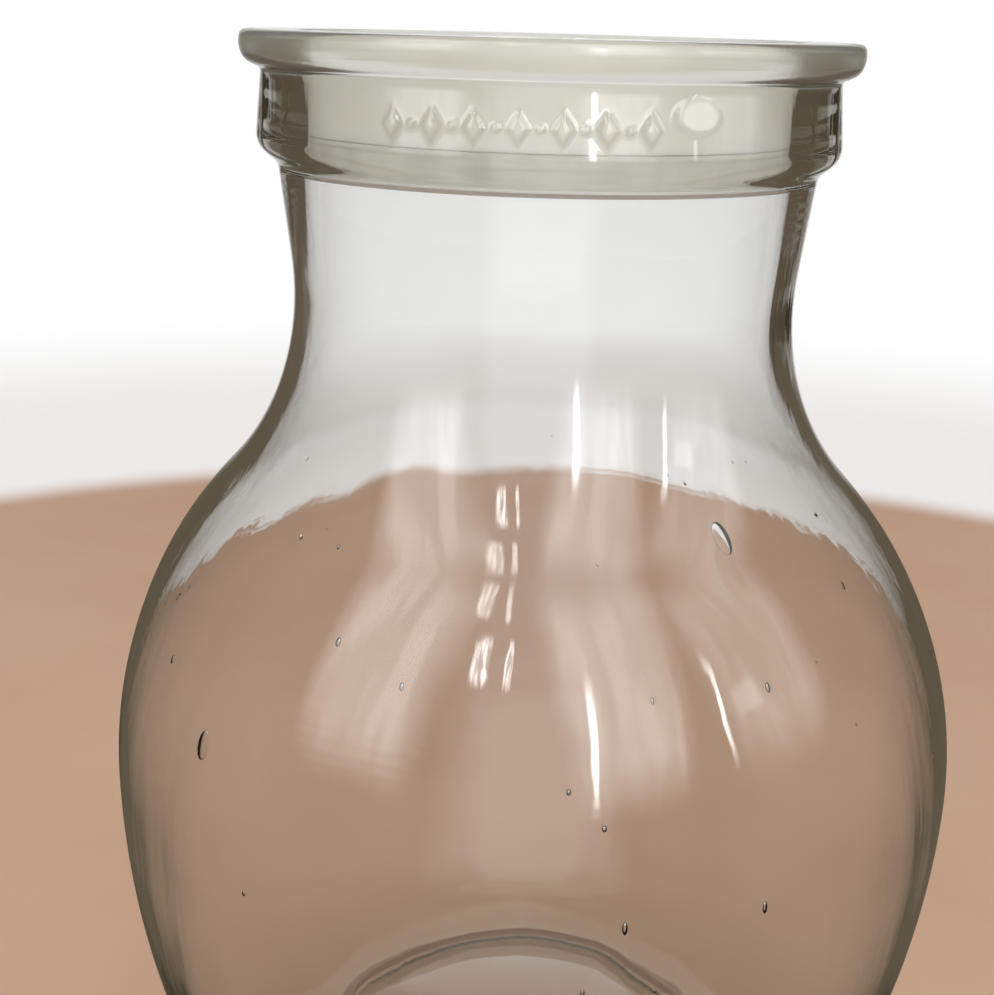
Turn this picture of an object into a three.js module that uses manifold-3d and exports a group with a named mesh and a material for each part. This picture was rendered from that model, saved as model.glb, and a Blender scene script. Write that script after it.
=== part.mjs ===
// Wide-mouth demijohn: a blown glass vessel, a push-in stopper with a grip bar, and the stopper's seal ring.
// Millimetres, +Z up. The origin is the centre of the base, on the surface that the vessel stands on.
import * as THREE from 'three';
import { mergeVertices } from 'three/addons/utils/BufferGeometryUtils.js';
import Module from 'manifold-3d';

// Body of the vessel: a sphere above the belly line, a leaning flank and a round heel below it
const bellyRadius = 159;
const bellyHeight = 161;
const flankLean = 26;
const heelRadius = 42;
const glassWall = 5.5;

// Base: a flat standing ring round a pushed-up punt
const ringWidth = 10;
const puntHeight = 24;
const puntCrownRadius = 40;
const baseThickness = 9;
const valleyWidth = 14;

// Neck: the waist sweeps out into the sphere below and flares a little up to the collar
const waistRadius = 89;
const neckSweep = 98;
const neckFlare = 4.6;
const neckRise = 45;
const boreFlare = 1.5;

// Collar and lip, from the neck upwards
const collarProjection = 5.3;
const collarStep = 5.7;
const collarHeight = 25;
const collarDraft = 2.1;
const lipOverhang = 7.1;
const lipUnderside = 2.2;
const lipDraft = 1.8;
const lipSide = 4.8;
const lipTop = 5;
const lipCrownInset = 0.8;

// Rounding of the glass edges
const neckRound = 3;
const collarRound = 4.5;
const grooveRound = 2.5;
const lipRound = 3.5;
const rimRound = 2.2;
const mouthRound = 3;

// Stopper: a cup that wedges in the bore
const stopperRecess = 4;
const stopperHeight = 38;
const stopperWall = 4;
const stopperFloor = 4;
const stopperEdgeRound = 1.2;
const fitClearance = 0.3;

// Grip bar across the cup, with room for fingers under its arch
const gripDepth = 16;
const gripTopDrop = 3;
const gripThickness = 9;
const gripBevel = 2;

// Stiffening ribs on the cup's floor, each running right across
const ribCount = 4;
const ribThickness = 2.4;
const ribHeight = 5;
const rootDepth = 1;

// Seal ring in its groove
const sealDrop = 32;
const sealHeight = 6;
const grooveDepth = 4;
const sealRound = 1.6;
const sealClearance = 0.3;

// Facets
const segments = 56;
const curveSteps = 3;
const edgeSteps = 2;

// Circles that the vessel's outline runs along, each tangent to the next
const footRadius = bellyRadius - flankLean - heelRadius;
const heelRise = bellyHeight - heelRadius;
const flankRadius = ((flankLean + heelRadius) ** 2 + heelRise ** 2 - heelRadius ** 2) / (2 * flankLean);
const flankCentre = bellyRadius - flankRadius;
const heelAngle = Math.atan2(-heelRise, footRadius - flankCentre);
const sweepCentre = waistRadius + neckSweep;
const waistHeight = bellyHeight + Math.sqrt((bellyRadius + neckSweep) ** 2 - sweepCentre ** 2);
const shoulderAngle = Math.atan2(waistHeight - bellyHeight, sweepCentre);

// Levels and radii of the mouth
const neckTopRadius = waistRadius + neckFlare;
const neckTop = waistHeight + neckRise;
const collarFoot = neckTop + collarStep;
const collarTop = collarFoot + collarHeight;
const lipFoot = collarTop + lipUnderside;
const lipWidest = lipFoot + lipSide;
const rimHeight = lipWidest + lipTop;
const collarRadius = neckTopRadius + collarProjection;
const lipRadius = collarRadius + lipOverhang;
const boreRadius = waistRadius - glassWall;
const mouthRadius = boreRadius + boreFlare;

// Radius of the tapered bore at a height between the waist and the rim
function boreAt(height) {
  return boreRadius + (boreFlare * (height - waistHeight)) / (rimHeight - waistHeight);
}

// Levels of the stopper
const stopperTop = rimHeight - stopperRecess;
const stopperBottom = stopperTop - stopperHeight;
const floorTop = stopperBottom + stopperFloor;
const sealCentre = stopperTop - sealDrop;
const grooveHalf = sealHeight / 2 + sealClearance;
const grooveRadius = boreAt(sealCentre) - fitClearance - grooveDepth;
const skirtRadius = grooveRadius - stopperWall;
const skirtTop = sealCentre + grooveHalf + stopperWall;
const cupRadius = boreAt(stopperTop) - fitClearance - stopperWall;

// Continues a path through corners given as [radius, height, round], and rounds each corner
function throughCorners(path, corners) {
  const points = corners.map(([radius, height]) => new THREE.Vector2(radius, height));
  points.forEach((corner, index) => {
    const before = index > 0 ? points[index - 1] : path.currentPoint.clone();
    const after = points[index + 1];
    const round = corners[index][2];
    if (!round || !after) {
      path.lineTo(corner.x, corner.y);
      return;
    }
    const reach = Math.min(round, corner.distanceTo(before) / 2, corner.distanceTo(after) / 2);
    const start = corner.clone().add(before.clone().sub(corner).setLength(reach));
    const end = corner.clone().add(after.clone().sub(corner).setLength(reach));
    path.lineTo(start.x, start.y);
    path.quadraticCurveTo(corner.x, corner.y, end.x, end.y);
  });
  return path;
}

// Turns an outline of radius and height about the Z axis
function revolve(path, steps) {
  const geometry = new THREE.LatheGeometry(path.getPoints(steps), segments);
  return geometry.rotateX(Math.PI / 2);
}

function piece(name, geometry, look) {
  const mesh = new THREE.Mesh(geometry, new THREE.MeshStandardMaterial(look));
  mesh.name = name;
  return mesh;
}

const wasm = await Module();
wasm.setup();

function toSolid(geometry) {
  const bare = geometry.clone();
  bare.deleteAttribute('normal');
  bare.deleteAttribute('uv');
  const merged = mergeVertices(bare);
  const source = Array.from(merged.index.array);
  const triangles = [];
  for (let corner = 0; corner < source.length; corner += 3) {
    const [a, b, c] = source.slice(corner, corner + 3);
    if (a !== b && b !== c && c !== a) triangles.push(a, b, c);
  }
  return new wasm.Manifold(new wasm.Mesh({
    numProp: 3,
    vertProperties: new Float32Array(merged.attributes.position.array),
    triVerts: new Uint32Array(triangles),
  }));
}

function toGeometry(solid) {
  const mesh = solid.getMesh();
  const geometry = new THREE.BufferGeometry();
  geometry.setAttribute('position', new THREE.BufferAttribute(mesh.vertProperties, 3));
  geometry.setIndex(new THREE.BufferAttribute(mesh.triVerts, 1));
  geometry.computeVertexNormals();
  return geometry;
}

// The glass, from the crown of the punt out under the base, up the outside, over the lip and down the inside
function vessel() {
  const outline = new THREE.Path().moveTo(0, puntHeight);
  outline.quadraticCurveTo(puntCrownRadius, puntHeight, footRadius - ringWidth, 0);
  outline.lineTo(footRadius, 0);
  outline.absarc(footRadius, heelRadius, heelRadius, -Math.PI / 2, heelAngle, false);
  outline.absarc(flankCentre, bellyHeight, flankRadius, heelAngle, 0, false);
  outline.absarc(0, bellyHeight, bellyRadius, 0, shoulderAngle, false);

  const toNeckTop = new THREE.Vector2(neckTopRadius - sweepCentre, neckRise);
  const neckTangent = toNeckTop.angle() + Math.acos(neckSweep / toNeckTop.length());
  outline.absarc(sweepCentre, waistHeight, neckSweep, Math.PI + shoulderAngle, neckTangent, true);
  throughCorners(outline, [
    [neckTopRadius, neckTop, neckRound],
    [collarRadius + collarDraft, collarFoot, collarRound],
    [collarRadius, collarTop, grooveRound],
    [lipRadius - lipDraft, lipFoot, lipRound],
    [lipRadius, lipWidest, lipRound],
    [lipRadius - lipCrownInset, rimHeight, rimRound],
    [mouthRadius, rimHeight, mouthRound],
    [boreRadius, waistHeight],
  ]);

  outline.absarc(sweepCentre, waistHeight, neckSweep + glassWall, Math.PI, Math.PI + shoulderAngle, false);
  outline.absarc(0, bellyHeight, bellyRadius - glassWall, shoulderAngle, 0, true);
  outline.absarc(flankCentre, bellyHeight, flankRadius - glassWall, 0, heelAngle, true);
  outline.absarc(footRadius, heelRadius, heelRadius - glassWall, heelAngle, -Math.PI / 2, true);
  const crown = puntHeight + baseThickness;
  outline.bezierCurveTo(footRadius - valleyWidth, glassWall, puntCrownRadius + baseThickness, crown, 0, crown);
  return piece('vessel', revolve(outline, curveSteps), { color: 0xd3d9d0, roughness: 0.05, metalness: 0 });
}

// The stopper's cup: a tapered wall with the seal's groove outside and a thicker skirt behind the groove
function stopperCup() {
  const outside = (height) => boreAt(height) - fitClearance;
  const outline = new THREE.Path().moveTo(0, stopperBottom);
  throughCorners(outline, [
    [outside(stopperBottom), stopperBottom, stopperWall],
    [outside(sealCentre - grooveHalf), sealCentre - grooveHalf, stopperEdgeRound],
    [grooveRadius, sealCentre - grooveHalf],
    [grooveRadius, sealCentre + grooveHalf],
    [outside(sealCentre + grooveHalf), sealCentre + grooveHalf, stopperEdgeRound],
    [outside(stopperTop), stopperTop, stopperEdgeRound],
    [cupRadius, stopperTop, stopperEdgeRound],
    [cupRadius, skirtTop, stopperEdgeRound],
    [skirtRadius, skirtTop - grooveDepth, stopperEdgeRound],
    [skirtRadius, floorTop, stopperWall],
    [0, floorTop],
  ]);
  return toSolid(revolve(outline, edgeSteps));
}

// The bar that the fingers pull on, flat on top and arched below, rooted in the cup's wall above the skirt
function gripBar() {
  const reach = cupRadius + stopperWall / 2;
  const top = stopperTop - gripTopDrop;
  const crown = top - gripThickness;
  const side = new THREE.Shape();
  side.moveTo(-reach, top);
  side.lineTo(-reach, skirtTop);
  side.quadraticCurveTo(0, 2 * crown - skirtTop, reach, skirtTop);
  side.lineTo(reach, top);
  side.closePath();
  const bar = new THREE.ExtrudeGeometry(side, {
    depth: gripDepth - 2 * gripBevel,
    bevelThickness: gripBevel,
    bevelSize: gripBevel,
    bevelOffset: -gripBevel,
    bevelSegments: 2,
    curveSegments: 4 * curveSteps,
  });
  bar.translate(0, 0, gripBevel - gripDepth / 2);
  return toSolid(bar.rotateX(Math.PI / 2));
}

function floorRibs() {
  const length = 2 * (skirtRadius + rootDepth);
  const height = ribHeight + rootDepth;
  return Array.from({ length: ribCount }, (_, index) => {
    const rib = new THREE.BoxGeometry(length, ribThickness, height);
    rib.rotateZ((Math.PI * (index + 0.5)) / ribCount);
    return toSolid(rib.translate(0, 0, floorTop - rootDepth + height / 2));
  });
}

function stopper() {
  const solid = [gripBar(), ...floorRibs()].reduce((whole, part) => whole.add(part), stopperCup());
  return piece('stopper', toGeometry(solid), { color: 0xdedcd2, roughness: 0.45, metalness: 0 });
}

// The ring fills the groove from its floor out to the bore, less its clearance on every side
function sealRing() {
  const inner = grooveRadius + sealClearance;
  const outer = boreAt(sealCentre - sealHeight / 2) - sealClearance;
  const bottom = sealCentre - sealHeight / 2;
  const top = sealCentre + sealHeight / 2;
  const outline = new THREE.Path().moveTo(inner, sealCentre);
  throughCorners(outline, [
    [inner, bottom, sealRound / 2],
    [outer, bottom, sealRound],
    [outer, top, sealRound],
    [inner, top, sealRound / 2],
    [inner, sealCentre],
  ]);
  return piece('seal_ring', revolve(outline, edgeSteps), { color: 0xb9b4a8, roughness: 0.7, metalness: 0 });
}

const demijohn = new THREE.Group();
demijohn.add(vessel(), stopper(), sealRing());
export default demijohn;
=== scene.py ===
import math
import random

import bmesh
import bpy
from mathutils import Matrix, Vector, noise


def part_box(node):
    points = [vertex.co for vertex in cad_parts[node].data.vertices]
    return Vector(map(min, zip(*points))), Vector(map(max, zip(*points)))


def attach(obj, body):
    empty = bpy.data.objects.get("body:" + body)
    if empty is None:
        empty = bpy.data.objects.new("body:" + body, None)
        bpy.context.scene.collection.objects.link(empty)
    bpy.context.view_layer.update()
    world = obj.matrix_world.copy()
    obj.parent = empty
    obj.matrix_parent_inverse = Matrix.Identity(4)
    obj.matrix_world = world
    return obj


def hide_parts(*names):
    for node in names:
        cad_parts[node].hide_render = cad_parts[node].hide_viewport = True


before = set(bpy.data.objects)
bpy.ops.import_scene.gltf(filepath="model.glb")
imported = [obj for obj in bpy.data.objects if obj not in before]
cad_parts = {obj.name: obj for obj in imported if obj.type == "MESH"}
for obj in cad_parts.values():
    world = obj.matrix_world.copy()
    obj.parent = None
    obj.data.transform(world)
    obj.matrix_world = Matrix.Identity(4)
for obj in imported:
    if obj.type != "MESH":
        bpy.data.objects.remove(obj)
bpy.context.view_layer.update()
print("frame loaded:", ", ".join(sorted(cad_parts)))


# shader maths as plain expressions
class Wire:
    def __init__(self, board, socket):
        self.board = board
        self.socket = socket

    def maths(self, operation, *values):
        return self.board.add("ShaderNodeMath", {"operation": operation}, dict(enumerate(values)))

    def __add__(self, other):
        return self.maths("ADD", self, other)

    def __sub__(self, other):
        return self.maths("SUBTRACT", self, other)

    def __rsub__(self, other):
        return self.maths("SUBTRACT", other, self)

    def __mul__(self, other):
        return self.maths("MULTIPLY", self, other)

    def __or__(self, other):
        return self.maths("MAXIMUM", self, other)

    __radd__ = __add__
    __rmul__ = __mul__

    # 0 below low, 1 above high, smooth between
    def ramp(self, low, high):
        settings = {"interpolation_type": "SMOOTHSTEP"}
        sockets = {"Value": self, "From Min": low, "From Max": high}
        return self.board.add("ShaderNodeMapRange", settings, sockets)


class Board:
    def __init__(self, owner):
        owner.use_nodes = True
        self.tree = owner.node_tree
        self.tree.nodes.clear()

    def add(self, kind, settings=None, sockets=None, out=0):
        node = self.tree.nodes.new(kind)
        for name, value in (settings or {}).items():
            setattr(node, name, value)
        for name, value in (sockets or {}).items():
            if isinstance(value, Wire):
                self.tree.links.new(value.socket, node.inputs[name])
            else:
                node.inputs[name].default_value = value
        return Wire(self, node.outputs[out]) if node.outputs else node

    def also(self, wire, out):
        return Wire(self, wire.socket.node.outputs[out])

    def place(self, scale=(1, 1, 1)):
        spot = self.add("ShaderNodeTexCoord", out="Object")
        return self.add("ShaderNodeMapping", {}, {"Vector": spot, "Scale": scale})

    # height above the floor
    def level(self):
        return self.add("ShaderNodeSeparateXYZ", {}, {0: self.place()}, out="Z")

    def fromAxis(self):
        flat = self.place((1, 1, 0))
        return self.add("ShaderNodeVectorMath", {"operation": "LENGTH"}, {0: flat}, out="Value")

    def cloud(self, scale, detail, stretch=(1, 1, 1)):
        sockets = {"Vector": self.place(stretch), "Scale": scale, "Detail": detail}
        return self.add("ShaderNodeTexNoise", {}, sockets)

    # a cloud with its low parts cut to 0 and its high parts to 1
    def patches(self, look):
        return self.cloud(*look["cloud"]).ramp(*look["ramp"])

    # from the first number to the second as the share goes from 0 to 1
    def between(self, ends, share):
        return ends[0] + share * (ends[1] - ends[0])

    def blend(self, share, first, second):
        return self.add("ShaderNodeMix", {"data_type": "RGBA"}, {0: share, 6: first, 7: second}, out=2)

    def bump(self, height, distance, strength=1.0):
        sockets = {"Height": height, "Distance": distance, "Strength": strength}
        return self.add("ShaderNodeBump", {}, sockets)

    # rays that see the plain background, from the camera or straight through glass,
    # and rays that a glossy face or the inside of the glass has turned
    def rays(self):
        camera = self.add("ShaderNodeLightPath", out="Is Camera Ray")
        through = self.also(camera, "Is Transmission Ray") | self.also(camera, "Is Glossy Ray")
        seen = (camera | through) * self.unmet(camera, "Diffuse Depth")
        straight = self.unmet(camera, "Glossy Depth")
        return seen * straight, seen * (1 - straight)

    # 1 until a ray has met a surface of that kind
    def unmet(self, path, kind):
        return 1 - self.also(path, kind).ramp(0.4, 0.6)

    # 1 towards the bright ends of the studio, 0 towards its dark sides
    def brightEnds(self, way):
        across = self.add("ShaderNodeSeparateXYZ", {}, {0: way}, out="X")
        bearing = across.maths("ARCTAN2", across, self.also(across, "Y"))
        return across.maths("COSINE", bearing * 2).ramp(*surroundings["endSpread"])

    # what turned rays see, in emission or background nodes: side at a share of 0, end at 1
    def studio(self, kind, share):
        side = self.add(kind, {}, {"Color": surroundings["sideTint"], "Strength": surroundings["side"]})
        end = self.add(kind, {}, {"Color": white, "Strength": surroundings["end"]})
        return self.add("ShaderNodeMixShader", {}, {0: share, 1: side, 2: end})


white = (1, 1, 1, 1)


def newMaterial(name):
    material = bpy.data.materials.new(name)
    return material, Board(material)


# outlines of radius and height that a spin turns about the axis
class Outline:
    def __init__(self, radius, height, pitch):
        self.points = [Vector((radius, height))]
        self.pitch = pitch

    def follow(self, curve, length):
        count = max(2, math.ceil(length / self.pitch))
        self.points += [curve((step + 1) / count) for step in range(count)]
        return self

    def line(self, radius, height):
        start = self.points[-1]
        end = Vector((radius, height))
        return self.follow(lambda t: start.lerp(end, t), (end - start).length)

    def arc(self, centre, size, start, end):
        def curve(t):
            angle = start + (end - start) * t
            return Vector((centre[0] + size * math.cos(angle), centre[1] + size * math.sin(angle)))
        return self.follow(curve, abs(size * (end - start)))

    def bend(self, *handles):
        row = [self.points[-1]] + [Vector(handle) for handle in handles]

        def curve(t):
            level = row
            while len(level) > 1:
                level = [a.lerp(b, t) for a, b in zip(level, level[1:])]
            return level[0]
        return self.follow(curve, sum((b - a).length for a, b in zip(row, row[1:])))

    # corners are (radius, height, rounding)
    def corners(self, corners):
        spots = [Vector(corner[:2]) for corner in corners]
        for index, spot in enumerate(spots):
            before = spots[index - 1] if index else self.points[-1].copy()
            rounding = corners[index][2] if index + 1 < len(spots) else 0
            if not rounding:
                self.line(*spot)
                continue
            after = spots[index + 1]
            reach = min(rounding, (spot - before).length / 2, (spot - after).length / 2)
            self.line(*(spot + (before - spot).normalized() * reach))
            self.bend(spot, spot + (after - spot).normalized() * reach)
        return self


# points nearer than this, in metres, are one
sameSpot = 1e-6


def spinOutline(outline, sectors, start=0.0):
    bm = bmesh.new()
    turn = Matrix.Rotation(start, 3, "Z")
    ring = [bm.verts.new(turn @ Vector((point.x, 0, point.y))) for point in outline.points]
    strip = ring + [bm.edges.new(pair) for pair in zip(ring, ring[1:])]
    whole = len(sectors) == 1
    for angle, steps in sectors:
        swept = bmesh.ops.spin(bm, geom=strip, axis=(0, 0, 1), angle=angle, steps=steps, use_merge=whole)
        strip = swept["geom_last"]
    bmesh.ops.remove_doubles(bm, verts=bm.verts[:], dist=sameSpot)
    bmesh.ops.dissolve_degenerate(bm, edges=bm.edges[:], dist=sameSpot / 10)
    bmesh.ops.recalc_face_normals(bm, faces=bm.faces[:])
    return bm


def bevelEdges(bm, edges, offset, segments):
    bmesh.ops.bevel(
        bm, geom=edges, offset=offset, affect="EDGES", segments=segments, profile=0.5, material=-1,
    )


# crease is the angle in degrees above which an edge is shaded sharp
def finishPiece(bm, name, material, body, node, size):
    mesh = bpy.data.meshes.new(name)
    bm.to_mesh(mesh)
    bm.free()
    mesh.shade_smooth()
    if "crease" in size:
        mesh.set_sharp_from_angle(angle=math.radians(size["crease"]))
    mesh.materials.append(material)
    piece = bpy.data.objects.new(name, mesh)
    bpy.context.scene.collection.objects.link(piece)
    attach(piece, body)
    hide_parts(node)
    print(name, "made:", len(mesh.polygons), "faces")
    return piece


def smoothStep(low, high, value):
    t = min(max((value - low) / (high - low), 0), 1)
    return t * t * (3 - 2 * t)


# camera where the photograph was taken
photoCamera = {
    "place": (0, -0.5211, 0.4295),
    "tilt": 71.79,
    "swing": 1.59,
    "roll": 1.5,
    "lens": 52.46,
    "sensor": 36,
    "nearest": 0.01,
    "frame": (994, 995),
}


def makeCamera(look):
    data = bpy.data.cameras.new("photoCamera")
    data.lens = look["lens"]
    data.sensor_width = look["sensor"]
    data.clip_start = look["nearest"]
    camera = bpy.data.objects.new("photoCamera", data)
    bpy.context.scene.collection.objects.link(camera)
    swing = Matrix.Rotation(math.radians(look["swing"]), 4, "Z")
    tilt = Matrix.Rotation(math.radians(look["tilt"]), 4, "X")
    roll = Matrix.Rotation(math.radians(look["roll"]), 4, "Z")
    camera.matrix_world = Matrix.Translation(look["place"]) @ swing @ tilt @ roll
    bpy.context.scene.camera = camera
    return camera


camera = makeCamera(photoCamera)


# direction in which the camera sees a pixel of the photograph
def pixelRay(pixel):
    wide, high = photoCamera["frame"]
    reach = photoCamera["lens"] / photoCamera["sensor"] * max(wide, high)
    look = Vector((pixel[0] - wide / 2, high / 2 - pixel[1], -reach))
    return (camera.matrix_world.to_3x3() @ look).normalized()


# the glass vessel, sizes in metres
vesselLow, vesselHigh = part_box("vessel")
vessel = {
    "belly": (vesselHigh.x - vesselLow.x) / 2,
    "bellyHeight": 0.161,
    "rim": vesselHigh.z,
    "wall": 0.0055,
    "flankLean": 0.026,
    "heel": 0.042,
    "ringWidth": 0.010,
    "puntHeight": 0.024,
    "puntCrown": 0.040,
    "baseThickness": 0.009,
    "valley": 0.014,
    "waist": 0.089,
    "sweep": 0.098,
    "neckFlare": 0.0046,
    "neckRise": 0.045,
    "neckPlain": 0.85,
    "neckRound": 0.003,
    "boreFlare": 0.0015,
    "collarOut": 0.0053,
    "collarStep": 0.0057,
    "collarHeight": 0.025,
    "collarDraft": 0.0021,
    "ledgeRound": 0.0045,
    "collarRound": 0.0025,
    "lipOut": 0.0071,
    "lipUnder": 0.0022,
    "lipDraft": 0.0018,
    "lipSide": 0.0048,
    "lipTop": 0.005,
    "lipInset": 0.0008,
    "lipRound": 0.0035,
    "rimRound": 0.0022,
    "mouthRound": 0.003,
    "mouthShare": 0.1,
    "bodyPitch": 0.0052,
    "collarPitch": 0.0008,
    "lipPitch": 0.0012,
    "seamAngle": 0.012,
    "seamHeight": 0.0003,
    "seamSlack": 0.00001,
    "frontAngle": math.radians(36),
    "frontSteps": 150,
    "sideSteps": 29,
    "backSteps": 92,
    "slot": "clear_glass",
}


def vesselOutline(size):
    belly, height, wall = size["belly"], size["bellyHeight"], size["wall"]
    heel = size["heel"]
    foot = belly - size["flankLean"] - heel
    rise = height - heel
    flank = ((size["flankLean"] + heel) ** 2 + rise ** 2 - heel ** 2) / (2 * size["flankLean"])
    flankCentre = (belly - flank, height)
    heelCentre = (foot, heel)
    heelAngle = math.atan2(-rise, foot - flankCentre[0])
    waist, sweep = size["waist"], size["sweep"]
    waistHeight = height + math.sqrt((belly + sweep) ** 2 - (waist + sweep) ** 2)
    sweepCentre = (waist + sweep, waistHeight)
    shoulder = math.atan2(waistHeight - height, sweepCentre[0])
    neckTop = (waist + size["neckFlare"], waistHeight + size["neckRise"])
    toNeck = Vector(neckTop) - Vector(sweepCentre)
    tangent = math.atan2(toNeck.y, toNeck.x) + math.acos(sweep / toNeck.length)
    collarFoot = neckTop[1] + size["collarStep"]
    collarTop = collarFoot + size["collarHeight"]
    collar = neckTop[0] + size["collarOut"]
    lipFoot = collarTop + size["lipUnder"]
    lip = collar + size["lipOut"]
    rim = lipFoot + size["lipSide"] + size["lipTop"]
    bore = waist - wall
    mouth = bore + size["boreFlare"]
    size.update(waistHeight=waistHeight, neckTop=neckTop[1], bore=bore)
    size.update(collarFoot=collarFoot, collarTop=collarTop)

    under = Outline(0, size["puntHeight"], size["bodyPitch"])
    under.bend((size["puntCrown"], size["puntHeight"]), (foot - size["ringWidth"], 0)).line(foot, 0)
    under.arc(heelCentre, heel, -math.pi / 2, heelAngle)
    under.arc(flankCentre, flank, heelAngle, 0)
    under.arc((0, height), belly, 0, shoulder)
    under.arc(sweepCentre, sweep, math.pi + shoulder, tangent)
    under.line(*under.points[-1].lerp(Vector(neckTop), size["neckPlain"]))
    under.pitch = size["collarPitch"]
    under.corners([
        (*neckTop, size["neckRound"]),
        (collar + size["collarDraft"], collarFoot, size["ledgeRound"]),
        (collar, collarTop - size["collarRound"], 0),
    ])
    under.pitch = size["lipPitch"]
    under.corners([
        (collar, collarTop, size["collarRound"]),
        (lip - size["lipDraft"], lipFoot, size["lipRound"]),
        (lip, lipFoot + size["lipSide"], size["lipRound"]),
        (lip - size["lipInset"], rim, size["rimRound"]),
        (mouth, rim, size["mouthRound"]),
        (mouth - size["boreFlare"] * size["mouthShare"], rim - (rim - waistHeight) * size["mouthShare"], 0),
    ])
    under.pitch = size["bodyPitch"]
    under.line(bore, waistHeight)
    under.arc(sweepCentre, sweep + wall, math.pi, math.pi + shoulder)
    under.arc((0, height), belly - wall, shoulder, 0)
    under.arc(flankCentre, flank - wall, 0, heelAngle)
    under.arc(heelCentre, heel - wall, heelAngle, -math.pi / 2)
    crown = size["puntHeight"] + size["baseThickness"]
    crownEdge = size["puntCrown"] + size["baseThickness"]
    return under.bend((foot - size["valley"], wall), (crownEdge, crown), (0, crown))


# how far hand-blown glass strays from the true outline, in metres
blown = {
    "lean": 0.0012,
    "outer": {"swell": 0.0005, "streak": 0.00013, "ripple": 0.00006, "seed": 3.0},
    "inner": {"swell": 0.0009, "streak": 0.00020, "ripple": 0.00009, "seed": 11.0},
    "swellScale": 13.0,
    "streakScale": 62.0,
    "streakStretch": 0.11,
    "rippleScale": 48.0,
    "backShare": 0.12,
    "frontFade": (0.3, 0.75),
    "footFade": (0.004, 0.03),
}


# how far the body leans to one side at a height
def leanAt(size, height):
    foot = smoothStep(0, size["bellyHeight"], height)
    return blown["lean"] * foot * (1 - smoothStep(size["bellyHeight"], size["waistHeight"], height))


def blowGlass(bm, size):
    middle = Vector((0, 0, size["bellyHeight"]))
    moves = []
    for vert in bm.verts:
        spot, normal = vert.co, vert.normal
        outward = normal.x * spot.x + normal.y * spot.y + normal.z * (spot.z - middle.z) / 2 > 0
        skin = blown["outer"] if outward else blown["inner"]
        shift = Vector((0, 0, skin["seed"]))
        belowCollar = 1 - smoothStep(size["waistHeight"], size["collarFoot"], spot.z)
        free = smoothStep(*blown["footFade"], spot.z) * belowCollar
        facing = -spot.y / max(math.hypot(spot.x, spot.y), size["ringWidth"])
        fine = blown["backShare"] + (1 - blown["backShare"]) * smoothStep(*blown["frontFade"], facing)
        spread = Vector((spot.x, spot.y, spot.z * blown["streakStretch"]))
        swell = noise.noise(spot * blown["swellScale"] + shift) * skin["swell"]
        streak = noise.noise(spread * blown["streakScale"] + shift) * skin["streak"] * fine
        ripple = noise.noise(spot * blown["rippleScale"] + shift) * skin["ripple"] * fine
        moves.append(normal * (swell + streak + ripple) * free + Vector((leanAt(size, spot.z), 0, 0)))
    for vert, move in zip(bm.verts, moves):
        vert.co += move


# plain row of raised lozenges and pellets round the front of the collar
relief = {
    "count": 7,
    "pitch": 0.0128,
    "lozenge": (0.0047, 0.0070),
    "pellet": 0.0019,
    "height": 0.0012,
    "edge": 0.75,
    "pelletEdge": 0.7,
    "shift": -0.0085,
    "boss": (0.0445, 0.004),
    "bossHalf": (0.0076, 0.0052),
    "bossHeight": 0.0008,
    "bossSlope": (0.052, -0.105),
    "bossEdge": (0.88, 1.12),
}


# 0 off the row, 1 on top of a motif
def reliefShare(along, up):
    half = relief["count"] // 2
    nearest = min(max(round(along / relief["pitch"]), -half), half) * relief["pitch"]
    wide, high = relief["lozenge"]
    lozenge = 1 - abs(along - nearest) / wide - abs(up) / high
    between = (math.floor(along / relief["pitch"]) + 0.5) * relief["pitch"]
    inside = abs(between) < half * relief["pitch"]
    pellet = 1 - math.hypot(along - between, up) / relief["pellet"] if inside else 0
    return max(smoothStep(0, relief["edge"], lozenge), smoothStep(0, relief["pelletEdge"], pellet))


# how far a round boss with a flat, slightly turned face stands out from the collar
def bossHeight(along, up, radius):
    aside, above = along - relief["boss"][0], up - relief["boss"][1]
    wide, high = relief["bossHalf"]
    off = math.hypot(aside / wide, above / high)
    flat = radius / math.cos(aside / radius) - radius
    tilt = Vector(relief["bossSlope"]).dot(Vector((-aside, above)))
    return (relief["bossHeight"] + flat + tilt) * (1 - smoothStep(*relief["bossEdge"], off))


def mouldCollar(bm, size):
    # painted shade: a vertex share that darkens the glass on the relief's flanks, standing in for the shade
    # that refraction gives the raised motifs
    paintedReliefShade = bm.verts.layers.float.new("paintedReliefShade")
    middle = (size["collarFoot"] + size["collarTop"]) / 2
    for vert in bm.verts:
        spot, normal = vert.co, vert.normal
        radius = math.hypot(spot.x, spot.y)
        if normal.x * spot.x + normal.y * spot.y < 0:
            continue
        if size["collarFoot"] < spot.z < size["collarTop"] and spot.y < 0:
            along, up = radius * math.atan2(spot.x, -spot.y), spot.z - middle
            share = reliefShare(along - relief["shift"], up)
            # painted shade share, largest half-way up each motif's flank
            vert[paintedReliefShade] = 4 * share * (1 - share)  # 1 half-way up a motif's flank
            rise = share * relief["height"] + bossHeight(along, up, radius)
            vert.co += Vector((spot.x, spot.y, 0)) / radius * rise
        if abs(spot.y) < size["seamSlack"] and size["neckTop"] < spot.z < size["collarTop"]:
            vert.co += normal * size["seamHeight"]


# air bubbles caught in the wall: two large ones that the photograph shows, by pixel and half sizes,
# and scattered seeds
bubbles = {
    "large": {(718, 540): (0.0008, 0.0029, 0.0060), (204, 745): (0.0004, 0.0028, 0.0048)},
    "largeRounds": 4,
    "seeds": 46,
    "seedRounds": 2,
    "seedRise": (-0.05, 0.66),
    "seedSize": (0.0003, 0.0009),
    "seedStretch": (1.2, 2.6),
    "seedDepth": (-0.0007, 0.0007),
    "draw": 21,
}


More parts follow.
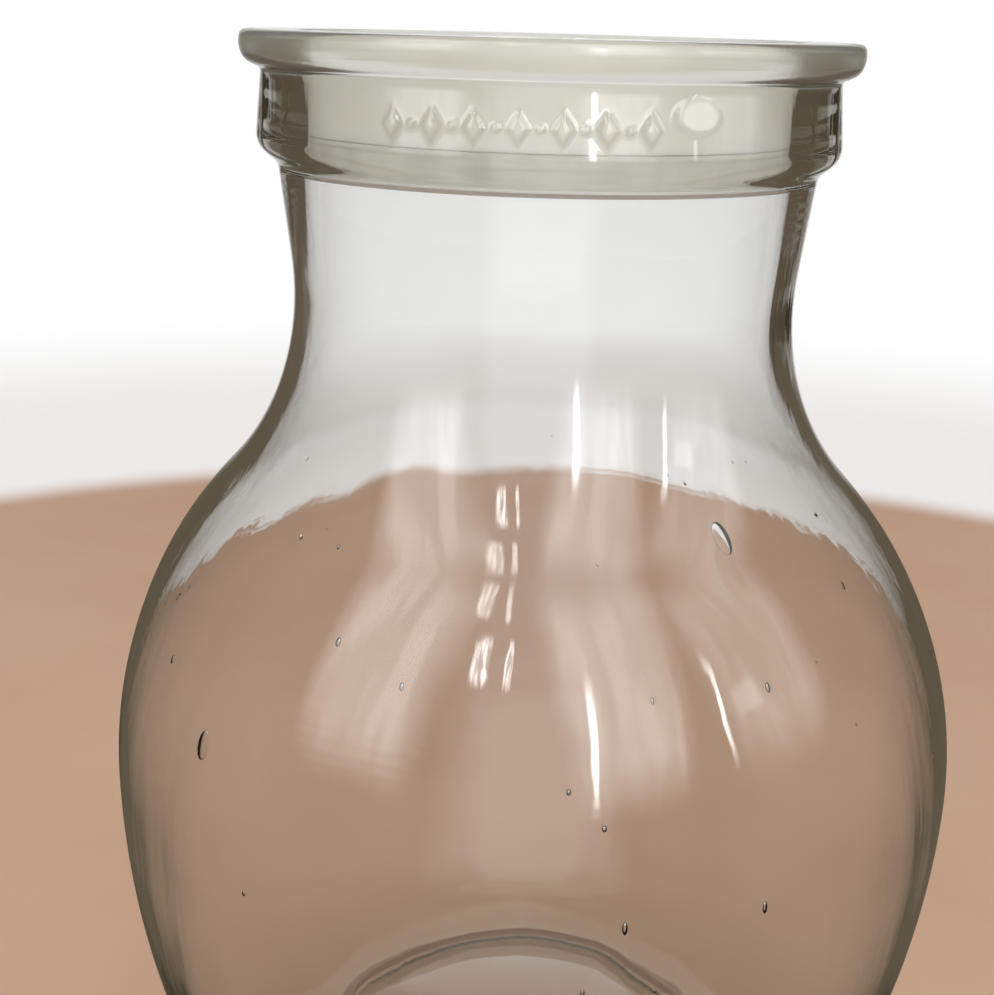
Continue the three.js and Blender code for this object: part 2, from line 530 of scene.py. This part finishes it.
def addBubble(bm, centre, out, size, rounds):
    centre = centre + Vector((leanAt(vessel, centre.z), 0, 0))
    up = (Vector((0, 0, 1)) - out * out.z).normalized()
    side = up.cross(out)
    turn = Matrix((out, side, up)).transposed().to_4x4()
    place = Matrix.Translation(centre) @ turn @ Matrix.Diagonal((*size, 1))
    made = bmesh.ops.create_icosphere(bm, subdivisions=rounds, radius=1, matrix=place)
    faces = {face for vert in made["verts"] for face in vert.link_faces}
    bmesh.ops.reverse_faces(bm, faces=list(faces))


def blowBubbles(bm, size):
    middle = Vector((0, 0, size["bellyHeight"]))
    reach = size["belly"] - size["wall"] / 2
    eye = Vector(photoCamera["place"])
    for pixel, halfSizes in bubbles["large"].items():
        ray = pixelRay(pixel)
        nearest = (middle - eye).dot(ray)
        off = (eye + ray * nearest - middle).length
        spot = eye + ray * (nearest - math.sqrt(reach ** 2 - off ** 2))
        addBubble(bm, spot, (spot - middle).normalized(), halfSizes, bubbles["largeRounds"])
    draw = random.Random(bubbles["draw"])
    for _ in range(bubbles["seeds"]):
        turn = draw.uniform(0, 2 * math.pi)
        rise = draw.uniform(*bubbles["seedRise"])
        flat = Vector((math.cos(turn), math.sin(turn), 0)) * math.cos(rise)
        out = flat + Vector((0, 0, math.sin(rise)))
        small = draw.uniform(*bubbles["seedSize"])
        length = small * draw.uniform(*bubbles["seedStretch"])
        depth = draw.uniform(*bubbles["seedDepth"])
        spot = middle + out * (reach + depth)
        addBubble(bm, spot, out, (small, small, length), bubbles["seedRounds"])


glassLook = {
    "index": 1.5,
    "absorb": (0.74, 0.745, 0.70, 1),
    "density": 26.0,
    "through": (0.955, 0.96, 0.945, 1),
    # painted shade colour for the relief's flanks
    "paintedReliefShade": (0.72, 0.70, 0.66, 1),
    "haze": (0.93, 0.935, 0.92, 1),
    "smear": {"cloud": (9, 5), "ramp": (0.5, 0.75)},
    "wipe": {"cloud": (60, 4, (1, 1, 0.12)), "ramp": (0.45, 0.8)},
    "lipBand": (0.4085, 0.4125),
    "lipEdge": (0.0995, 0.1015),
    "lipRough": (0.12, 0.24),
    "lipWear": (30, 2, (1, 1, 9)),
    "lipTint": (0.84, 0.84, 0.79, 1),
    "lipHaze": 0.22,
    "lipBloom": (0.62, 0.62, 0.56, 1),
    "drawn": (110, 2, (1, 1, 0.14)),
    "drawnDepth": 0.00005,
    "broken": {"cloud": (16, 2), "ramp": (0.4, 0.65)},
    "ringDepth": 0.000012,
    "ringPitch": 0.0036,
    "ringBands": [(0.204, 0.216, 0.226, 0.240), (0.360, 0.367, 0.376, 0.383)],
}


# fine marks of the blowing: drawn lines up the wall, and rings round the shoulder and under the collar
def blownSkin(board):
    drawn = board.cloud(*glassLook["drawn"]) * glassLook["drawnDepth"]
    level = board.level()
    bands = 0
    for low, lowEnd, high, highEnd in glassLook["ringBands"]:
        bands = level.ramp(low, lowEnd) * (1 - level.ramp(high, highEnd)) + bands
    rings = level.maths("SINE", level * (2 * math.pi / glassLook["ringPitch"])) * bands
    broken = rings * board.patches(glassLook["broken"])
    return board.bump(drawn + broken * glassLook["ringDepth"], 1.0)


def clearGlass():
    material, board = newMaterial("clearGlass")
    smears = board.patches(glassLook["smear"]) * board.patches(glassLook["wipe"])
    wiped = board.blend(smears, white, glassLook["haze"])
    paintedReliefShade = board.add("ShaderNodeAttribute", {"attribute_name": "paintedReliefShade"}, out="Fac")
    worn = board.between(glassLook["lipRough"], board.cloud(*glassLook["lipWear"]))
    lip = board.level().ramp(*glassLook["lipBand"]) * board.fromAxis().ramp(*glassLook["lipEdge"])
    tinted = board.blend(lip, wiped, glassLook["lipTint"])
    glass = board.add("ShaderNodeBsdfPrincipled", {}, {
        # painted shade: the glass's colour darkens on the relief's flanks by the vertex share
        "Base Color": board.blend(paintedReliefShade, tinted, glassLook["paintedReliefShade"]),
        "Roughness": lip * worn,
        "IOR": glassLook["index"],
        "Transmission Weight": 1.0,
        "Normal": blownSkin(board),
    })
    bloom = board.add("ShaderNodeBsdfDiffuse", {}, {"Color": glassLook["lipBloom"]})
    hazed = board.add("ShaderNodeMixShader", {}, {0: lip * glassLook["lipHaze"], 1: glass, 2: bloom})
    clear = board.add("ShaderNodeBsdfTransparent", {}, {"Color": glassLook["through"]})
    shadow = board.add("ShaderNodeLightPath", out="Is Shadow Ray")
    surface = board.add("ShaderNodeMixShader", {}, {0: shadow, 1: hazed, 2: clear})
    depth = board.add("ShaderNodeVolumeAbsorption", {}, {
        "Color": glassLook["absorb"],
        "Density": glassLook["density"],
    })
    board.add("ShaderNodeOutputMaterial", {}, {"Surface": surface, "Volume": depth})
    return material


def makeVessel(size):
    outline = vesselOutline(size)
    seam, front = size["seamAngle"], size["frontAngle"]
    quarter = math.pi / 2 - seam - front
    sectors = [
        (seam, 1), (seam, 1), (math.pi - 2 * seam, size["backSteps"]),
        (seam, 1), (seam, 1), (quarter, size["sideSteps"]),
        (2 * front, size["frontSteps"]), (quarter, size["sideSteps"]),
    ]
    bm = spinOutline(outline, sectors, -seam)
    bm.normal_update()
    mouldCollar(bm, size)
    blowGlass(bm, size)
    blowBubbles(bm, size)
    return finishPiece(bm, "vesselGlass", clearGlass(), "vessel", "vessel", size)


makeVessel(vessel)


# the plug of milky plastic that closes the mouth
stopperLow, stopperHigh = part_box("stopper")
stopper = {
    "top": stopperHigh.z,
    "bottom": stopperLow.z,
    "wall": 0.004,
    "floor": 0.004,
    "edge": 0.0012,
    "clearance": 0.0003,
    "sealDrop": 0.032,
    "sealHeight": 0.006,
    "grooveDepth": 0.004,
    "grooveEdge": 0.0004,
    "gripDepth": 0.016,
    "gripDrop": 0.003,
    "gripThickness": 0.009,
    "gripCuts": 39,
    "gripBevel": 0.002,
    "gripSegments": 5,
    "gripCrease": 0.8,
    "ribs": 4,
    "ribThickness": 0.0024,
    "ribHeight": 0.005,
    "ribRoot": 0.001,
    "ribBevel": 0.0006,
    "ribSegments": 2,
    "gate": 0.004,
    "gateDepth": 0.0006,
    "gateSlope": 0.0004,
    "gateRound": (0.0004, 0.0003),
    "pitch": 0.0014,
    "steps": 144,
    "crease": 38,
    "slot": "natural_polyethylene",
}


def boreAt(height):
    share = (height - vessel["waistHeight"]) / (vessel["rim"] - vessel["waistHeight"])
    return vessel["bore"] + vessel["boreFlare"] * share


def stopperLevels(size):
    centre = size["top"] - size["sealDrop"]
    half = size["sealHeight"] / 2 + size["clearance"]
    groove = boreAt(centre) - size["clearance"] - size["grooveDepth"]
    size.update(sealCentre=centre, grooveHalf=half, groove=groove)
    size.update(skirt=groove - size["wall"], skirtTop=centre + half + size["wall"])
    size.update(cup=boreAt(size["top"]) - size["clearance"] - size["wall"])
    size.update(floorTop=size["bottom"] + size["floor"])


def stopperCup(size):
    def outside(height):
        return boreAt(height) - size["clearance"]
    low = size["sealCentre"] - size["grooveHalf"]
    high = size["sealCentre"] + size["grooveHalf"]
    edge = size["edge"]
    gateFloor = size["floorTop"] - size["gateDepth"]
    gateRim, gateFoot = size["gateRound"]
    outline = Outline(0, size["bottom"], size["pitch"]).corners([
        (outside(size["bottom"]), size["bottom"], edge),
        (outside(low), low, size["grooveEdge"]),
        (size["groove"], low, 0),
        (size["groove"], high, 0),
        (outside(high), high, size["grooveEdge"]),
        (outside(size["top"]), size["top"], edge),
        (size["cup"], size["top"], edge),
        (size["cup"], size["skirtTop"], edge),
        (size["skirt"], size["skirtTop"] - size["grooveDepth"], edge),
        (size["skirt"], size["floorTop"], size["wall"]),
        (size["gate"], size["floorTop"], gateRim),
        (size["gate"] - size["gateSlope"], gateFloor, gateFoot),
        (0, gateFloor, 0),
    ])
    return spinOutline(outline, [(2 * math.pi, size["steps"])])


def spanAlong(edge):
    return abs(edge.verts[0].co.x - edge.verts[1].co.x)


def gripBar(size):
    reach = size["cup"] + size["wall"] / 2
    top = size["top"] - size["gripDrop"]
    crown = top - size["gripThickness"]
    bm = bmesh.new()
    stretch = Matrix.Diagonal((2 * reach, size["gripDepth"], 1, 1))
    bmesh.ops.create_cube(bm, size=1, matrix=stretch)
    along = [edge for edge in bm.edges if spanAlong(edge) > reach]
    bmesh.ops.subdivide_edges(bm, edges=along, cuts=size["gripCuts"], use_grid_fill=True)
    for vert in bm.verts:
        arch = crown - (crown - size["skirtTop"]) * (vert.co.x / reach) ** 2
        vert.co.z = top if vert.co.z > 0 else arch
    shortest = reach / size["gripCuts"]
    creased = [edge for edge in bm.edges if edge.calc_face_angle(0) > size["gripCrease"]]
    long = [edge for edge in creased if spanAlong(edge) > shortest]
    bevelEdges(bm, long, size["gripBevel"], size["gripSegments"])
    bmesh.ops.recalc_face_normals(bm, faces=bm.faces[:])
    return bm


def floorRib(size, turn):
    length = 2 * (size["skirt"] + size["ribRoot"])
    tall = size["ribHeight"] + size["ribRoot"]
    middle = size["floorTop"] - size["ribRoot"] + tall / 2
    bm = bmesh.new()
    place = Matrix.Translation((0, 0, middle)) @ Matrix.Rotation(turn, 4, "Z")
    place @= Matrix.Diagonal((length, size["ribThickness"], tall, 1))
    bmesh.ops.create_cube(bm, size=1, matrix=place)
    rims = [edge for edge in bm.edges if all(vert.co.z > middle for vert in edge.verts)]
    bevelEdges(bm, rims, size["ribBevel"], size["ribSegments"])
    return bm


# joins shapes into one closed body, without the slivers that the union leaves
def joinShapes(shapes):
    pieces = []
    for bm in shapes:
        mesh = bpy.data.meshes.new("joining")
        bm.to_mesh(mesh)
        bm.free()
        piece = bpy.data.objects.new("joining", mesh)
        bpy.context.scene.collection.objects.link(piece)
        pieces.append(piece)
    for other in pieces[1:]:
        union = pieces[0].modifiers.new("union", "BOOLEAN")
        union.operation = "UNION"
        union.solver = "EXACT"
        union.object = other
    joined = bmesh.new()
    bpy.context.view_layer.update()
    joined.from_object(pieces[0], bpy.context.evaluated_depsgraph_get())
    bmesh.ops.remove_doubles(joined, verts=joined.verts[:], dist=sameSpot)
    bmesh.ops.dissolve_degenerate(joined, edges=joined.edges[:], dist=sameSpot)
    for piece in pieces:
        mesh = piece.data
        bpy.data.objects.remove(piece)
        bpy.data.meshes.remove(mesh)
    return joined


plasticLook = {
    "milk": (0.88, 0.88, 0.85, 1),
    "cloudy": (0.83, 0.825, 0.79, 1),
    "flow": {"cloud": (38, 4, (1, 1, 0.4)), "ramp": (0.35, 0.7)},
    "rough": (0.34, 0.5),
    "roughCloud": (120, 3),
    "peel": (1400, 2),
    "peelDepth": 0.00008,
    "peelStrength": 0.5,
    "index": 1.51,
    "glow": 0.3,
    "glowReach": (0.006, 0.005, 0.004),
}


def milkyPlastic():
    material, board = newMaterial("milkyPlastic")
    flow = board.patches(plasticLook["flow"])
    peel = board.cloud(*plasticLook["peel"])
    surface = board.add("ShaderNodeBsdfPrincipled", {}, {
        "Base Color": board.blend(flow, plasticLook["milk"], plasticLook["cloudy"]),
        "Roughness": board.between(plasticLook["rough"], board.cloud(*plasticLook["roughCloud"])),
        "IOR": plasticLook["index"],
        "Subsurface Weight": plasticLook["glow"],
        "Subsurface Radius": plasticLook["glowReach"],
        "Subsurface Scale": 1.0,
        "Normal": board.bump(peel, plasticLook["peelDepth"], plasticLook["peelStrength"]),
    })
    board.add("ShaderNodeOutputMaterial", {}, {"Surface": surface})
    return material


def makeStopper(size):
    stopperLevels(size)
    turns = [math.pi * (index + 0.5) / size["ribs"] for index in range(size["ribs"])]
    ribs = [floorRib(size, turn) for turn in turns]
    bm = joinShapes([stopperCup(size), gripBar(size), *ribs])
    return finishPiece(bm, "stopperPlug", milkyPlastic(), "stopper", "stopper", size)


makeStopper(stopper)


# the rubber ring in the stopper's groove
seal = {
    "clearance": 0.0003,
    "squeeze": 0.00025,
    "round": 0.0008,
    "rills": 2,
    "rillDepth": 0.0005,
    "rillEdge": 0.0003,
    "rillRound": 0.0004,
    "pitch": 0.0004,
    "steps": 160,
    "crease": 50,
    "slot": "seal_rubber",
}


def sealOutline(size):
    inner = stopper["groove"] + size["clearance"]
    bottom = stopper["sealCentre"] - stopper["sealHeight"] / 2 - size["squeeze"]
    top = stopper["sealCentre"] + stopper["sealHeight"] / 2 + size["squeeze"]
    outer = boreAt(bottom) - size["clearance"]
    space = (top - bottom - 2 * size["round"]) / size["rills"]
    face = [(outer, bottom, size["round"])]
    for index in range(size["rills"]):
        level = bottom + size["round"] + space * (index + 0.5)
        face += [(outer, level - space / 4, size["rillEdge"])]
        face += [(outer - size["rillDepth"], level, size["rillRound"])]
        face += [(outer, level + space / 4, size["rillEdge"])]
    face += [(outer, top, size["round"])]
    start = [(inner, bottom, size["round"] / 2)]
    end = [(inner, top, size["round"] / 2), (inner, stopper["sealCentre"], 0)]
    return Outline(inner, stopper["sealCentre"], size["pitch"]).corners(start + face + end)


rubberLook = {
    "pale": (0.84, 0.83, 0.79, 1),
    "dark": (0.75, 0.74, 0.70, 1),
    "bloom": (90, 5),
    "bloomRamp": (0.35, 0.7),
    "rough": (0.6, 0.82),
    "shine": 0.35,
    "grain": (2200, 2),
    "grainDepth": 0.00006,
    "grainStrength": 0.6,
}


def sealRubber():
    material, board = newMaterial("sealRubber")
    bloom = board.cloud(*rubberLook["bloom"])
    grain = board.cloud(*rubberLook["grain"])
    pale = bloom.ramp(*rubberLook["bloomRamp"])
    surface = board.add("ShaderNodeBsdfPrincipled", {}, {
        "Base Color": board.blend(pale, rubberLook["pale"], rubberLook["dark"]),
        "Roughness": board.between(rubberLook["rough"], bloom),
        "Specular IOR Level": rubberLook["shine"],
        "Normal": board.bump(grain, rubberLook["grainDepth"], rubberLook["grainStrength"]),
    })
    board.add("ShaderNodeOutputMaterial", {}, {"Surface": surface})
    return material


def makeSeal(size):
    bm = spinOutline(sealOutline(size), [(2 * math.pi, size["steps"])])
    return finishPiece(bm, "sealRing", sealRubber(), "stopper", "seal_ring", size)


makeSeal(seal)


# brightness of the plain surroundings: as seen, as they light the object, and as edges of glass show
# the studio's dark sides and bright ends
surroundings = {
    "plain": 1.0,
    "ambient": 0.45,
    "ambientTint": (1, 0.985, 0.96, 1),
    "side": 0.125,
    "sideTint": (1, 0.8, 0.55, 1),
    "end": 0.8,
    "endSpread": (0.6, 0.82),
}

# pale warm floor that runs out to white
floorLook = {
    "half": 6.0,
    "warm": (0.61, 0.40, 0.285, 1),
    "warmer": (0.57, 0.36, 0.25, 1),
    "tone": {"cloud": (5, 4), "ramp": (0.3, 0.7)},
    "far": (0.9, 0.9, 0.9, 1),
    "rough": 0.85,
    "shine": 0.2,
    "nearFade": (0.85, 0.92),
    "farFade": (1.1, 1.7),
    "nearShare": 0.6,
}


def makeFloor():
    material, board = newMaterial("paleFloor")
    colour = board.blend(board.patches(floorLook["tone"]), floorLook["warm"], floorLook["warmer"])
    away = board.fromAxis()
    near, far = away.ramp(*floorLook["nearFade"]), away.ramp(*floorLook["farFade"])
    fade = near * floorLook["nearShare"] + far * (1 - floorLook["nearShare"])
    paint = board.add("ShaderNodeBsdfPrincipled", {}, {
        "Base Color": board.blend(fade, colour, floorLook["far"]),
        "Roughness": floorLook["rough"],
        "Specular IOR Level": floorLook["shine"],
    })
    blank = board.add("ShaderNodeEmission", {}, {"Color": white, "Strength": surroundings["plain"]})
    plain, turned = board.rays()
    edge = board.studio("ShaderNodeEmission", board.brightEnds(board.place()) * fade)
    ground = board.add("ShaderNodeMixShader", {}, {0: turned, 1: paint, 2: edge})
    surface = board.add("ShaderNodeMixShader", {}, {0: fade * plain, 1: ground, 2: blank})
    board.add("ShaderNodeOutputMaterial", {}, {"Surface": surface})
    bm = bmesh.new()
    bmesh.ops.create_grid(bm, x_segments=2, y_segments=2, size=floorLook["half"])
    mesh = bpy.data.meshes.new("paleFloor")
    bm.to_mesh(mesh)
    bm.free()
    mesh.materials.append(material)
    floor = bpy.data.objects.new("paleFloor", mesh)
    bpy.context.scene.collection.objects.link(floor)
    print("floor made")


makeFloor()


# soft boxes, placed by bearing from the front and height above the level;
# a fill lights only matt surfaces, and a gloss only shows as a highlight
softBoxes = {
    "overhead": {
        "kind": "fill", "bearing": 0, "rise": 90, "away": 4.0,
        "size": (3.0, 3.0), "power": 66, "soft": 0.7,
    },
    "front": {
        "kind": "fill", "bearing": 0, "rise": 28, "away": 3.0,
        "size": (2.0, 2.0), "power": 118, "soft": 0.3,
    },
    "slimRight": {
        "kind": "gloss", "bearing": 16, "rise": 18, "away": 1.5,
        "size": (0.08, 1.0), "power": 9, "soft": 0.1,
    },
    "tallRight": {
        "kind": "gloss", "bearing": 54, "rise": 19, "away": 1.5,
        "size": (0.06, 0.85), "power": 4, "soft": 0.1,
    },
    "paneLow": {
        "kind": "gloss", "bearing": -15, "rise": 38, "away": 1.6,
        "size": (0.15, 0.42), "power": 4.5, "soft": 0.4, "folds": 0.8,
    },
    "paneHigh": {
        "kind": "gloss", "bearing": -18, "rise": 53, "away": 1.6,
        "size": (0.15, 0.3), "power": 1.6, "soft": 0.5, "folds": 0.5,
    },
    "barLow": {
        "kind": "gloss", "bearing": -7, "rise": 38, "away": 1.6,
        "size": (0.05, 0.42), "power": 1.5, "soft": 0.4, "folds": 0.8,
    },
    "barHigh": {
        "kind": "gloss", "bearing": -9, "rise": 53, "away": 1.6,
        "size": (0.05, 0.3), "power": 0.6, "soft": 0.5, "folds": 0.5,
    },
    "curtainLeft": {
        "kind": "gloss", "bearing": -45, "rise": 33, "away": 1.7,
        "size": (1.3, 2.3), "power": 58, "soft": 0.4, "folds": 0.35,
    },
    "curtainRight": {
        "kind": "gloss", "bearing": 27, "rise": 33, "away": 1.7,
        "size": (1.2, 2.3), "power": 56, "soft": 0.4, "folds": 0.35,
    },
    "bossPane": {
        "kind": "gloss", "bearing": 61.9, "rise": 18.6, "away": 1.61,
        "size": (0.24, 0.24), "power": 0.45, "soft": 0.5,
    },
    "curtainFar": {
        "kind": "gloss", "bearing": 70, "rise": 28, "away": 1.7,
        "size": (1.15, 1.9), "power": 24, "soft": 0.4, "folds": 0.35,
    },
}
aim = Vector((0, 0, 0.3))
foldLook = {"stretch": (5, 1.6, 1), "scale": 1.2, "detail": 2.0, "ramp": (0.4, 0.6)}


# brightness falls off towards a box's edges, from the share called soft, and the folds of a cloth
# in front of a box dim it in places
def softenEdges(light, box):
    board = Board(light)
    spot = board.add("ShaderNodeNewGeometry", out="Parametric")
    across = board.add("ShaderNodeSeparateXYZ", {}, {0: spot}, out="X")
    along = board.also(across, "Y")
    fall = 1
    for share in (across, along):
        off = share.maths("ABSOLUTE", share * 2 - 1)
        fall = (1 - off.ramp(box["soft"], 1)) * fall
    if "folds" in box:
        place = (box["bearing"], box["rise"], 0)
        cloth = {"Vector": spot, "Location": place, "Scale": foldLook["stretch"]}
        cloth = board.add("ShaderNodeMapping", {}, cloth)
        folds = {"Vector": cloth, "Scale": foldLook["scale"], "Detail": foldLook["detail"]}
        folds = board.add("ShaderNodeTexNoise", {}, folds).ramp(*foldLook["ramp"])
        fall = fall * (1 - folds * box["folds"])
    glow = board.add("ShaderNodeEmission", {}, {"Strength": fall})
    board.add("ShaderNodeOutputLight", {}, {"Surface": glow})


def lightScene():
    world = bpy.data.worlds.new("plainWorld")
    bpy.context.scene.world = world
    board = Board(world)
    blank = board.add("ShaderNodeBackground", {}, {"Color": white, "Strength": surroundings["plain"]})
    dim = {"Color": surroundings["ambientTint"], "Strength": surroundings["ambient"]}
    dim = board.add("ShaderNodeBackground", {}, dim)
    way = board.add("ShaderNodeTexCoord", out="Generated")
    edge = board.studio("ShaderNodeBackground", board.brightEnds(way))
    plain, turned = board.rays()
    lighting = board.add("ShaderNodeMixShader", {}, {0: turned, 1: dim, 2: edge})
    mixed = board.add("ShaderNodeMixShader", {}, {0: plain, 1: lighting, 2: blank})
    board.add("ShaderNodeOutputWorld", {}, {"Surface": mixed})
    for name, box in softBoxes.items():
        data = bpy.data.lights.new(name, "AREA")
        data.shape = "RECTANGLE"
        data.size, data.size_y = box["size"]
        data.energy = box["power"]
        softenEdges(data, box)
        light = bpy.data.objects.new(name, data)
        bearing, rise = math.radians(box["bearing"]), math.radians(box["rise"])
        flat = Vector((math.sin(bearing), -math.cos(bearing), 0)) * math.cos(rise)
        out = flat + Vector((0, 0, math.sin(rise)))
        facing = Matrix.Rotation(bearing, 4, "Z") @ Matrix.Rotation(math.pi / 2 - rise, 4, "X")
        light.matrix_world = Matrix.Translation(aim + out * box["away"]) @ facing
        light.visible_camera = False
        light.visible_transmission = False
        light.visible_diffuse = box["kind"] == "fill"
        light.visible_glossy = box["kind"] == "gloss"
        bpy.context.scene.collection.objects.link(light)
    print("lights made:", len(softBoxes))


lightScene()

bpy.context.scene.view_settings.view_transform = "Standard"
